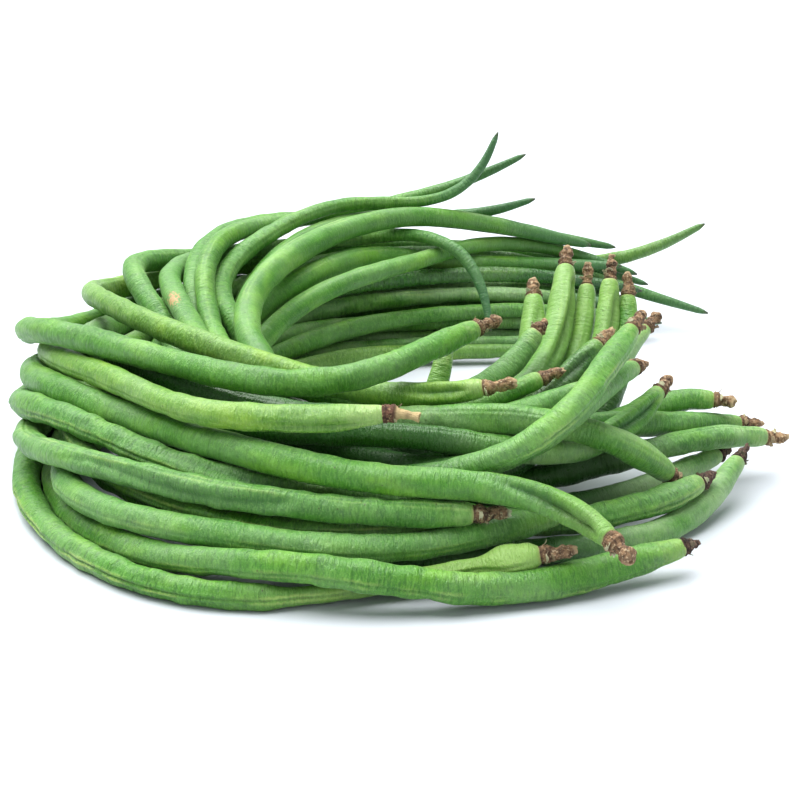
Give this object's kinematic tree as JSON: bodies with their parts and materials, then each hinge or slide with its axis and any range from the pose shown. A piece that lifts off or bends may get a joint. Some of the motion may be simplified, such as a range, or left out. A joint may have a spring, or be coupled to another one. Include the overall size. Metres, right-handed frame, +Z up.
{
  "type": "yardlong bean bunch",
  "caption": "Long thin green bean pods bent together into an open ring and lying on a surface, brown stalk stubs at one end and thin tips at the other.",
  "frame": {"origin": "middle of the bounding box's base, on the surface that the bunch lies on", "axes": "+Z up, +X to the open side where the stalks and tips point, -Y to the front where the stem ends lie, the bend at -X"},
  "size_m": [0.259, 0.2738, 0.0784],
  "materials": {
    "pod_mid_green": "waxy, half matt green bean pod",
    "pod_yellow_green": "waxy, half matt yellow-green bean pod",
    "pod_dark_green": "waxy, glossier dark green bean pod",
    "pod_grey_green": "bloomed grey-green bean pod",
    "stalk": "dry brown stalk stub"
  },
  "bodies": {
    "root": {"pod_01": "pod_mid_green", "pod_02": "pod_yellow_green", "pod_03": "pod_yellow_green", "pod_04": "pod_dark_green", "pod_05": "pod_yellow_green", "pod_06": "pod_mid_green", "pod_07": "pod_grey_green", "pod_08": "pod_grey_green", "pod_09": "pod_dark_green", "pod_10": "pod_grey_green", "pod_11": "pod_yellow_green", "pod_12": "pod_mid_green", "pod_13": "pod_dark_green", "pod_14": "pod_dark_green", "pod_15": "pod_grey_green", "pod_16": "pod_yellow_green", "pod_17": "pod_grey_green", "pod_18": "pod_mid_green", "pod_19": "pod_grey_green", "pod_20": "pod_grey_green", "pod_21": "pod_mid_green", "pod_22": "pod_grey_green", "pod_23": "pod_dark_green", "pod_24": "pod_mid_green", "pod_25": "pod_grey_green", "pod_26": "pod_mid_green", "pod_27": "pod_yellow_green", "pod_28": "pod_yellow_green", "pod_29": "pod_yellow_green", "pod_30": "pod_yellow_green", "stalk_01": "stalk", "stalk_02": "stalk", "stalk_03": "stalk", "stalk_04": "stalk", "stalk_05": "stalk", "stalk_06": "stalk", "stalk_07": "stalk", "stalk_08": "stalk", "stalk_09": "stalk", "stalk_10": "stalk", "stalk_11": "stalk", "stalk_12": "stalk", "stalk_13": "stalk", "stalk_14": "stalk", "stalk_15": "stalk", "stalk_16": "stalk", "stalk_17": "stalk", "stalk_18": "stalk", "stalk_19": "stalk", "stalk_20": "stalk", "stalk_21": "stalk", "stalk_22": "stalk", "stalk_23": "stalk", "stalk_24": "stalk", "stalk_25": "stalk", "stalk_26": "stalk", "stalk_27": "stalk", "stalk_28": "stalk", "stalk_29": "stalk", "stalk_30": "stalk"}
  },
  "joints": []
}
